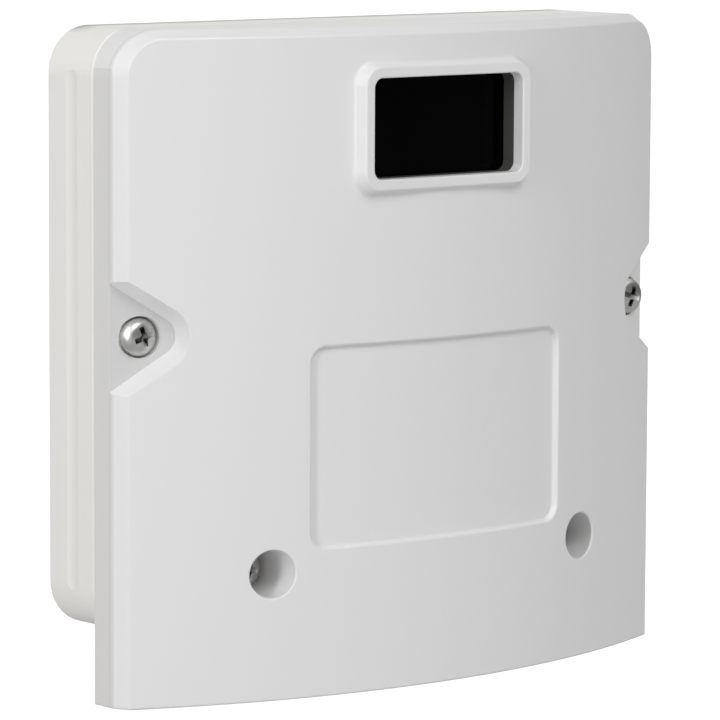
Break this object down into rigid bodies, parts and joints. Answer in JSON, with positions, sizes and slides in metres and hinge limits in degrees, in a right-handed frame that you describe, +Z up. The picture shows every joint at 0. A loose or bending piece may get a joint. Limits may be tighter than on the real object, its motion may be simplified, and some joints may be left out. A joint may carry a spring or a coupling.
{
  "type": "remote control receiver",
  "caption": "Flat wall-mounted plastic receiver box with a bowed front cover, a small smoked window, a sunk label field and screws in side notches and wells.",
  "frame": {"origin": "on the flat wall face of the rear body, midway between its four wall fixing holes", "axes": "+Y points into the wall and the cover looks along -Y; +X is to the right and +Z up for someone facing the cover"},
  "size_m": [0.1232, 0.0354, 0.116],
  "materials": {
    "body_plastic": "fine satin, warm white",
    "cover_plastic": "fine satin, cool white",
    "smoked_plastic": "gloss, smoked almost black",
    "plated_steel": "bright zinc plate",
    "black_rubber": "matt",
    "board_laminate": "solder resist over laminate",
    "radio_laminate": "solder resist over laminate",
    "terminal_plastic": "satin",
    "tinned_metal": "dull tin plate",
    "gold_plate": "thin gold plate",
    "nickelled_brass": "nickel plate",
    "relay_case": "satin",
    "chip_plastic": "matt moulded resin",
    "black_plastic": "satin",
    "red_plastic": "satin",
    "enamelled_copper": "clear enamel over copper",
    "green_lens": "tinted, diffused",
    "red_lens": "tinted, diffused",
    "capacitor_sleeve": "shrunk sleeve",
    "diode_body": "moulded resin",
    "varistor_lacquer": "lacquer",
    "resistor_body": "lacquer"
  },
  "bodies": {
    "housing": {"rear_body": "body_plastic", "cable_grommet": "black_rubber", "circuit_board": "board_laminate", "board_screws": "plated_steel", "terminal_block": "terminal_plastic", "terminal_contacts": "tinned_metal", "relay_left": "relay_case", "relay_right": "relay_case", "microcontroller": "chip_plastic", "memory_chip": "chip_plastic", "crystal": "tinned_metal", "radio_board": "radio_laminate", "radio_can": "tinned_metal", "radio_header": "black_plastic", "radio_pins": "gold_plate", "antenna_coil": "enamelled_copper", "learn_button_base": "tinned_metal", "jumper_header": "black_plastic", "jumper_pins": "gold_plate", "power_led": "green_lens", "signal_led": "red_lens", "led_spacers": "black_plastic", "voltage_regulator": "chip_plastic", "regulator_tab": "tinned_metal", "filter_capacitor": "capacitor_sleeve", "output_capacitor": "capacitor_sleeve", "rectifier_diodes": "diode_body", "surge_varistor": "varistor_lacquer", "driver_transistors": "chip_plastic", "resistors": "resistor_body"},
    "cover": {"front_cover": "cover_plastic", "window_lens": "smoked_plastic"},
    "side_screw_left": {"side_screw_left": "plated_steel"},
    "side_screw_right": {"side_screw_right": "plated_steel"},
    "lower_screw_left": {"lower_screw_left": "plated_steel"},
    "lower_screw_right": {"lower_screw_right": "plated_steel"},
    "learn_button": {"learn_button": "black_plastic"},
    "jumper_cap": {"jumper_cap": "red_plastic"},
    "terminal_screw_1": {"terminal_screw_1": "plated_steel"},
    "terminal_clamp_1": {"terminal_clamp_1": "nickelled_brass"},
    "terminal_screw_2": {"terminal_screw_2": "plated_steel"},
    "terminal_clamp_2": {"terminal_clamp_2": "nickelled_brass"},
    "terminal_screw_3": {"terminal_screw_3": "plated_steel"},
    "terminal_clamp_3": {"terminal_clamp_3": "nickelled_brass"},
    "terminal_screw_4": {"terminal_screw_4": "plated_steel"},
    "terminal_clamp_4": {"terminal_clamp_4": "nickelled_brass"},
    "terminal_screw_5": {"terminal_screw_5": "plated_steel"},
    "terminal_clamp_5": {"terminal_clamp_5": "nickelled_brass"},
    "terminal_screw_6": {"terminal_screw_6": "plated_steel"},
    "terminal_clamp_6": {"terminal_clamp_6": "nickelled_brass"}
  },
  "joints": [
    {"name": "cover_lift", "type": "slide", "parent": "housing", "child": "cover", "axis": [0, -1, 0], "range_m": [0, 0.06]},
    {"name": "side_screw_left_turn", "type": "hinge", "parent": "cover", "child": "side_screw_left", "pos_m": [-0.05655, -0.0181, -0.0012], "axis": [0, 1, 0], "continuous": true},
    {"name": "side_screw_right_turn", "type": "hinge", "parent": "cover", "child": "side_screw_right", "pos_m": [0.05655, -0.0181, -0.0012], "axis": [0, 1, 0], "continuous": true},
    {"name": "lower_screw_left_turn", "type": "hinge", "parent": "cover", "child": "lower_screw_left", "pos_m": [-0.0356, -0.02049, -0.0428], "axis": [0, 1, 0], "continuous": true},
    {"name": "lower_screw_right_turn", "type": "hinge", "parent": "cover", "child": "lower_screw_right", "pos_m": [0.0356, -0.02049, -0.0428], "axis": [0, 1, 0], "continuous": true},
    {"name": "learn_press", "type": "slide", "parent": "housing", "child": "learn_button", "axis": [0, 1, 0], "range_m": [0, 0.00025], "stiffness_N_per_m": 400, "springref_m": -0.0015},
    {"name": "jumper_pull", "type": "slide", "parent": "housing", "child": "jumper_cap", "axis": [0, -1, 0], "range_m": [0, 0.008]},
    {"name": "terminal_screw_1_turn", "type": "hinge", "parent": "housing", "child": "terminal_screw_1", "pos_m": [-0.0127, -0.02, -0.0283], "axis": [0, 1, 0], "range_deg": [0, 1440]},
    {"name": "terminal_clamp_1_rise", "type": "slide", "parent": "housing", "child": "terminal_clamp_1", "axis": [0, -1, 0], "range_m": [0, 0.0018]},
    {"name": "terminal_screw_2_turn", "type": "hinge", "parent": "housing", "child": "terminal_screw_2", "pos_m": [-0.00762, -0.02, -0.0283], "axis": [0, 1, 0], "range_deg": [0, 1440]},
    {"name": "terminal_clamp_2_rise", "type": "slide", "parent": "housing", "child": "terminal_clamp_2", "axis": [0, -1, 0], "range_m": [0, 0.0018]},
    {"name": "terminal_screw_3_turn", "type": "hinge", "parent": "housing", "child": "terminal_screw_3", "pos_m": [-0.00254, -0.02, -0.0283], "axis": [0, 1, 0], "range_deg": [0, 1440]},
    {"name": "terminal_clamp_3_rise", "type": "slide", "parent": "housing", "child": "terminal_clamp_3", "axis": [0, -1, 0], "range_m": [0, 0.0018]},
    {"name": "terminal_screw_4_turn", "type": "hinge", "parent": "housing", "child": "terminal_screw_4", "pos_m": [0.00254, -0.02, -0.0283], "axis": [0, 1, 0], "range_deg": [0, 1440]},
    {"name": "terminal_clamp_4_rise", "type": "slide", "parent": "housing", "child": "terminal_clamp_4", "axis": [0, -1, 0], "range_m": [0, 0.0018]},
    {"name": "terminal_screw_5_turn", "type": "hinge", "parent": "housing", "child": "terminal_screw_5", "pos_m": [0.00762, -0.02, -0.0283], "axis": [0, 1, 0], "range_deg": [0, 1440]},
    {"name": "terminal_clamp_5_rise", "type": "slide", "parent": "housing", "child": "terminal_clamp_5", "axis": [0, -1, 0], "range_m": [0, 0.0018]},
    {"name": "terminal_screw_6_turn", "type": "hinge", "parent": "housing", "child": "terminal_screw_6", "pos_m": [0.0127, -0.02, -0.0283], "axis": [0, 1, 0], "range_deg": [0, 1440]},
    {"name": "terminal_clamp_6_rise", "type": "slide", "parent": "housing", "child": "terminal_clamp_6", "axis": [0, -1, 0], "range_m": [0, 0.0018]}
  ],
  "couplings": [
    {"joint": "terminal_screw_1_turn", "follows": "terminal_clamp_1_rise", "rad_per_m": 13963},
    {"joint": "terminal_screw_2_turn", "follows": "terminal_clamp_2_rise", "rad_per_m": 13963},
    {"joint": "terminal_screw_3_turn", "follows": "terminal_clamp_3_rise", "rad_per_m": 13963},
    {"joint": "terminal_screw_4_turn", "follows": "terminal_clamp_4_rise", "rad_per_m": 13963},
    {"joint": "terminal_screw_5_turn", "follows": "terminal_clamp_5_rise", "rad_per_m": 13963},
    {"joint": "terminal_screw_6_turn", "follows": "terminal_clamp_6_rise", "rad_per_m": 13963}
  ]
}
